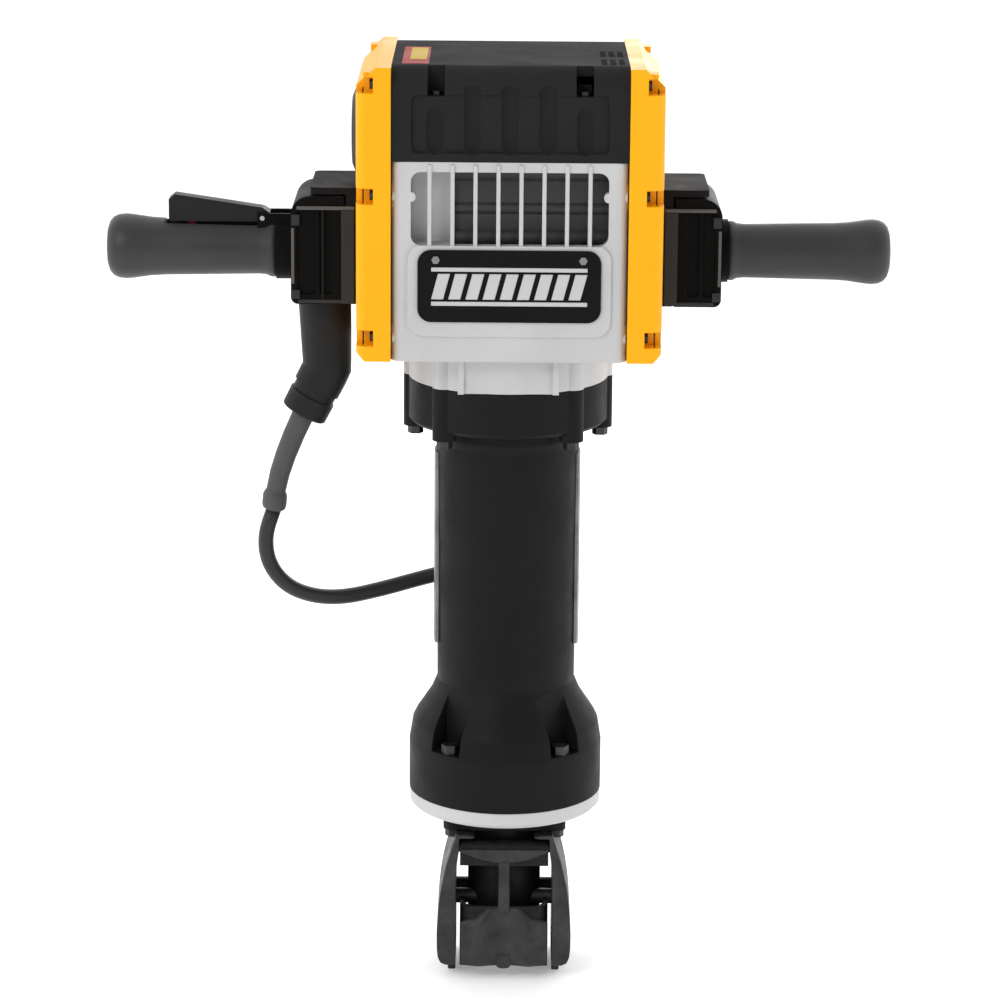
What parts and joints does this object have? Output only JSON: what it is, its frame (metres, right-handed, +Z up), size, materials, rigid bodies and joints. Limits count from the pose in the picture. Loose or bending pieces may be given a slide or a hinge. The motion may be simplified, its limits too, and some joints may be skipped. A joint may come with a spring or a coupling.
{
  "type": "demolition hammer",
  "caption": "Upright electric demolition hammer with a boxy motor head, two sprung side handles, a trigger, a long barrel and a hexagon bit nose with a swinging retainer latch.",
  "frame": {"origin": "on the tool's axis, in the plane of the two feet of the nose", "axes": "+Z up the tool's axis, -Y to the front with the nameplate, the trigger grip at -X"},
  "size_m": [0.6455, 0.2182, 0.787],
  "materials": {
    "silver_casting": "satin light grey painted casting",
    "black_casting": "satin black painted casting",
    "mount_casting": "satin black painted casting",
    "black_plastic": "fine-grained black moulding",
    "fan_plastic": "plain moulding",
    "yellow_plastic": "semi-gloss golden yellow moulding",
    "nameplate": "black enamelled plate",
    "bright_strip": "brushed strip",
    "black_screws": "black oxide",
    "forged_steel": "phosphated forging",
    "machined_steel": "ground and oiled",
    "laminated_core": "varnished laminations",
    "piston_alloy": "machined alloy",
    "bronze": "sintered bronze",
    "grip_rubber": "moulded rubber",
    "cord_jacket": "black rubber jacket",
    "switch_plastic": "plain moulding"
  },
  "bodies": {
    "root": {"gear_housing": "silver_casting", "clamp_ring": "silver_casting", "barrel_housing": "black_casting", "left_handle_mount": "mount_casting", "right_handle_mount": "mount_casting", "top_cover": "black_plastic", "motor_end_cap": "black_plastic", "brush_holders": "fan_plastic", "left_side_shell": "yellow_plastic", "right_side_shell": "yellow_plastic", "nameplate": "nameplate", "rating_plate": "nameplate", "barrel_strips": "bright_strip", "head_screws": "black_screws", "nameplate_screws": "black_screws", "handle_mount_bolts": "black_screws", "barrel_flange_bolts": "black_screws", "barrel_base_bolts": "black_screws", "nose_block": "forged_steel", "guard_arm_left": "forged_steel", "guard_arm_right": "forged_steel", "arm_stay_bolts": "forged_steel", "latch_pin": "forged_steel", "nose_flange_bolts": "forged_steel", "cylinder_sleeve": "machined_steel", "hex_bushing": "machined_steel", "guide_rods": "machined_steel", "shaft_bearings": "machined_steel", "left_handle_springs": "machined_steel", "right_handle_springs": "machined_steel", "stator": "laminated_core", "anvil_guide": "bronze", "front_buffer": "grip_rubber", "cord_tube": "cord_jacket", "cord_hank": "cord_jacket", "cord_plug": "cord_jacket"},
    "rotor": {"armature": "machined_steel", "motor_fan": "fan_plastic"},
    "intermediate": {"intermediate_gear": "machined_steel"},
    "crank": {"crankshaft": "machined_steel"},
    "piston_assembly": {"piston": "piston_alloy", "piston_ring": "grip_rubber", "wrist_pin": "machined_steel"},
    "rod": {"connecting_rod": "machined_steel"},
    "ram_assembly": {"ram": "machined_steel", "ram_ring": "grip_rubber"},
    "beat_piece": {"anvil": "machined_steel"},
    "latch": {"bit_latch": "forged_steel"},
    "left_handle": {"left_handle_bracket": "black_plastic", "left_handle_tube": "machined_steel", "left_grip": "grip_rubber", "trigger_pin": "machined_steel", "switch_body": "black_plastic", "cord_guard": "black_plastic", "strain_relief": "grip_rubber"},
    "right_handle": {"right_handle_bracket": "black_plastic", "right_handle_tube": "machined_steel", "right_grip": "grip_rubber"},
    "trigger": {"trigger_lever": "black_plastic"},
    "plunger": {"switch_plunger": "switch_plastic"}
  },
  "joints": [
    {"name": "crank_spin", "type": "hinge", "parent": "root", "child": "crank", "pos_m": [0, 0, 0.611], "axis": [1, 0, 0], "continuous": true},
    {"name": "intermediate_spin", "type": "hinge", "parent": "root", "child": "intermediate", "pos_m": [0, 0, 0.666], "axis": [1, 0, 0], "continuous": true},
    {"name": "motor_spin", "type": "hinge", "parent": "root", "child": "rotor", "pos_m": [0, 0, 0.723], "axis": [1, 0, 0], "continuous": true},
    {"name": "piston_slide", "type": "slide", "parent": "root", "child": "piston_assembly", "axis": [0, 0, 1], "range_m": [-0.044, 0]},
    {"name": "rod_swing", "type": "hinge", "parent": "piston_assembly", "child": "rod", "pos_m": [0, 0, 0.528], "axis": [1, 0, 0], "range_deg": [-12, 12]},
    {"name": "ram_slide", "type": "slide", "parent": "root", "child": "ram_assembly", "axis": [0, 0, 1], "range_m": [0, 0.09]},
    {"name": "anvil_slide", "type": "slide", "parent": "root", "child": "beat_piece", "axis": [0, 0, 1], "range_m": [0, 0.012]},
    {"name": "latch_swing", "type": "hinge", "parent": "root", "child": "latch", "pos_m": [0, -0.038, 0.116], "axis": [-1, 0, 0], "range_deg": [0, 95]},
    {"name": "left_handle_travel", "type": "slide", "parent": "root", "child": "left_handle", "axis": [0, 0, -1], "range_m": [0, 0.012], "stiffness_N_per_m": 12000, "springref_m": -0.005, "deforming": ["left_handle_springs", "cord_tube"]},
    {"name": "right_handle_travel", "type": "slide", "parent": "root", "child": "right_handle", "axis": [0, 0, -1], "range_m": [0, 0.012], "stiffness_N_per_m": 12000, "springref_m": -0.005, "deforming": ["right_handle_springs"]},
    {"name": "trigger_squeeze", "type": "hinge", "parent": "left_handle", "child": "trigger", "pos_m": [-0.203, 0, 0.651], "axis": [0, -1, 0], "range_deg": [0, 4], "stiffness_Nm_per_rad": 1.8, "springref_deg": -5.73},
    {"name": "plunger_press", "type": "slide", "parent": "left_handle", "child": "plunger", "axis": [0, 0, -1], "range_m": [0, 0.0042], "stiffness_N_per_m": 60, "springref_m": -0.004}
  ],
  "couplings": [
    {"joint": "intermediate_spin", "follows": "crank_spin", "ratio": -4},
    {"joint": "motor_spin", "follows": "crank_spin", "ratio": 21.333},
    {"joint": "plunger_press", "follows": "trigger_squeeze", "m_per_rad": 0.059}
  ]
}
